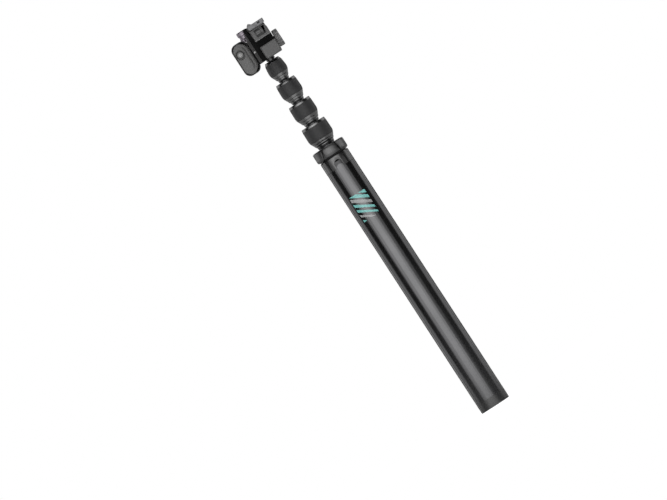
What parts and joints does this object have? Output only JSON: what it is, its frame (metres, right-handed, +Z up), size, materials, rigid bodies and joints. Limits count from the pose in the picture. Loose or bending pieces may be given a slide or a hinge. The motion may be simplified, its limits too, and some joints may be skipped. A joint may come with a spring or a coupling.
{
  "type": "camera tripod",
  "caption": "Folding tripod: legs that close to a round handle, a telescoping pole with twist locks, and a tilting phone clamp with an accessory shoe and a clip-on remote.",
  "frame": {"origin": "on the pole's axis, in the plane of the closed legs' soles", "axes": "+Z up the pole, -Y the way the clamp and the front leg face, +X towards the tilt knob"},
  "size_m": [0.0556, 0.0487, 0.4997],
  "materials": {
    "black_aluminium": "black anodised, satin gloss",
    "black_metal": "black painted steel",
    "black_plastic": "satin moulded",
    "gloss_black": "gloss",
    "grey_plastic": "satin moulded",
    "nylon": "natural nylon",
    "rubber": "matte",
    "steel": "plain",
    "light_metal": "anodised, satin",
    "grey_metal": "grey anodised, satin",
    "button": "gloss",
    "cell": "bright"
  },
  "bodies": {
    "stand": {"hub_collar": "black_plastic", "leg_hinge_pins": "steel", "tube_5": "black_aluminium", "tube_plug_5": "black_plastic", "lock_sleeve_4": "gloss_black"},
    "leg_1": {"leg_shell_1": "black_aluminium", "leg_cap_1": "black_plastic", "foot_cap_1": "black_plastic", "strut_bracket_1": "steel", "strut_pin_1": "steel"},
    "link_1": {"strut_1": "black_metal"},
    "leg_2": {"leg_shell_2": "black_aluminium", "leg_cap_2": "black_plastic", "foot_cap_2": "black_plastic", "strut_bracket_2": "steel", "strut_pin_2": "steel"},
    "link_2": {"strut_2": "black_metal"},
    "leg_3": {"leg_shell_3": "black_aluminium", "leg_cap_3": "black_plastic", "foot_cap_3": "black_plastic", "strut_bracket_3": "steel", "strut_pin_3": "steel"},
    "link_3": {"strut_3": "black_metal"},
    "ring": {"spreader_ring": "black_plastic", "ring_pins": "steel"},
    "pole_4": {"tube_4": "black_aluminium", "tube_bush_4": "nylon", "lock_sleeve_3": "gloss_black"},
    "pole_3": {"tube_3": "black_aluminium", "tube_bush_3": "nylon", "lock_sleeve_2": "gloss_black"},
    "pole_2": {"tube_2": "black_aluminium", "tube_bush_2": "nylon", "lock_sleeve_1": "gloss_black"},
    "pole_1": {"tube_1": "black_aluminium", "tube_bush_1": "nylon", "neck_plug": "black_plastic"},
    "nut_4": {"lock_nut_4": "gloss_black", "lock_grip_4": "rubber"},
    "nut_3": {"lock_nut_3": "gloss_black", "lock_grip_3": "rubber"},
    "nut_2": {"lock_nut_2": "gloss_black", "lock_grip_2": "rubber"},
    "nut_1": {"lock_nut_1": "gloss_black", "lock_grip_1": "rubber"},
    "pan": {"swivel_base": "black_plastic"},
    "clamp": {"clamp_frame": "black_plastic", "tilt_bolt": "steel", "lower_jaw": "grey_plastic", "lower_pad": "rubber"},
    "knob": {"tilt_knob": "black_plastic"},
    "middle_slide": {"clamp_slider": "black_plastic"},
    "top_slide": {"upper_jaw": "grey_plastic", "upper_pad": "rubber", "accessory_shoe": "grey_metal"},
    "spindle": {"lock_spindle": "light_metal"},
    "remote": {"remote_front": "grey_plastic", "remote_back": "black_plastic", "coin_cell": "cell"},
    "button": {"remote_button": "button"}
  },
  "joints": [
    {"name": "leg_1_open", "type": "hinge", "parent": "stand", "child": "leg_1", "pos_m": [0, -0.0132, 0.324], "axis": [-1, 0, 0], "range_deg": [0, 25]},
    {"name": "link_1_turn", "type": "hinge", "parent": "leg_1", "child": "link_1", "pos_m": [0, -0.0132, 0.229], "axis": [-1, 0, 0], "range_deg": [-50, 0]},
    {"name": "leg_2_open", "type": "hinge", "parent": "stand", "child": "leg_2", "pos_m": [0.01143, 0.0066, 0.324], "axis": [0.5, -0.866, 0], "range_deg": [0, 25]},
    {"name": "link_2_turn", "type": "hinge", "parent": "leg_2", "child": "link_2", "pos_m": [0.01143, 0.0066, 0.229], "axis": [0.5, -0.866, 0], "range_deg": [-50, 0]},
    {"name": "leg_3_open", "type": "hinge", "parent": "stand", "child": "leg_3", "pos_m": [-0.01143, 0.0066, 0.324], "axis": [0.5, 0.866, 0], "range_deg": [0, 25]},
    {"name": "link_3_turn", "type": "hinge", "parent": "leg_3", "child": "link_3", "pos_m": [-0.01143, 0.0066, 0.229], "axis": [0.5, 0.866, 0], "range_deg": [-50, 0]},
    {"name": "ring_rise", "type": "hinge", "parent": "link_1", "child": "ring", "pos_m": [0, -0.0132, 0.134], "axis": [-1, 0, 0], "range_deg": [0, 25]},
    {"name": "pole_4_slide", "type": "slide", "parent": "stand", "child": "pole_4", "axis": [0, 0, 1], "range_m": [0, 0.269]},
    {"name": "nut_4_turn", "type": "hinge", "parent": "stand", "child": "nut_4", "pos_m": [0, 0, 0.34095], "axis": [0, 0, 1], "range_deg": [0, 90]},
    {"name": "pole_3_slide", "type": "slide", "parent": "pole_4", "child": "pole_3", "axis": [0, 0, 1], "range_m": [0, 0.294]},
    {"name": "nut_3_turn", "type": "hinge", "parent": "pole_4", "child": "nut_3", "pos_m": [0, 0, 0.37], "axis": [0, 0, 1], "range_deg": [0, 90]},
    {"name": "pole_2_slide", "type": "slide", "parent": "pole_3", "child": "pole_2", "axis": [0, 0, 1], "range_m": [0, 0.319]},
    {"name": "nut_2_turn", "type": "hinge", "parent": "pole_3", "child": "nut_2", "pos_m": [0, 0, 0.39815], "axis": [0, 0, 1], "range_deg": [0, 90]},
    {"name": "pole_1_slide", "type": "slide", "parent": "pole_2", "child": "pole_1", "axis": [0, 0, 1], "range_m": [0, 0.343]},
    {"name": "nut_1_turn", "type": "hinge", "parent": "pole_2", "child": "nut_1", "pos_m": [0, 0, 0.4262], "axis": [0, 0, 1], "range_deg": [0, 90]},
    {"name": "pan_turn", "type": "hinge", "parent": "pole_1", "child": "pan", "pos_m": [0, 0, 0.4581], "axis": [0, 0, 1], "continuous": true},
    {"name": "clamp_tilt", "type": "hinge", "parent": "pan", "child": "clamp", "pos_m": [0, 0, 0.4696], "axis": [-1, 0, 0], "range_deg": [0, 90]},
    {"name": "knob_turn", "type": "hinge", "parent": "clamp", "child": "knob", "pos_m": [0.0198, 0, 0.4696], "axis": [1, 0, 0], "range_deg": [0, 180]},
    {"name": "jaw_slide", "type": "slide", "parent": "clamp", "child": "middle_slide", "axis": [0, 0, 1], "range_m": [0, 0.027], "stiffness_N_per_m": 120, "springref_m": -0.03},
    {"name": "jaw_slide_top", "type": "slide", "parent": "middle_slide", "child": "top_slide", "axis": [0, 0, 1], "range_m": [0, 0.027]},
    {"name": "spindle_turn", "type": "hinge", "parent": "clamp", "child": "spindle", "pos_m": [-0.011, -0.0024, 0.4881], "axis": [0, 0, -1], "range_deg": [0, 90]},
    {"name": "remote_unclip", "type": "slide", "parent": "clamp", "child": "remote", "axis": [-1, 0, 0], "range_m": [0, 0.02]},
    {"name": "button_press", "type": "slide", "parent": "remote", "child": "button", "axis": [0, 1, 0], "range_m": [0, 0.0006], "stiffness_N_per_m": 600, "springref_m": -0.001}
  ],
  "couplings": [
    {"joint": "link_1_turn", "follows": "leg_1_open", "ratio": -2},
    {"joint": "leg_2_open", "follows": "leg_1_open", "ratio": 1},
    {"joint": "link_2_turn", "follows": "leg_1_open", "ratio": -2},
    {"joint": "leg_3_open", "follows": "leg_1_open", "ratio": 1},
    {"joint": "link_3_turn", "follows": "leg_1_open", "ratio": -2},
    {"joint": "ring_rise", "follows": "leg_1_open", "ratio": 1},
    {"joint": "jaw_slide_top", "follows": "jaw_slide", "ratio": 1}
  ]
}
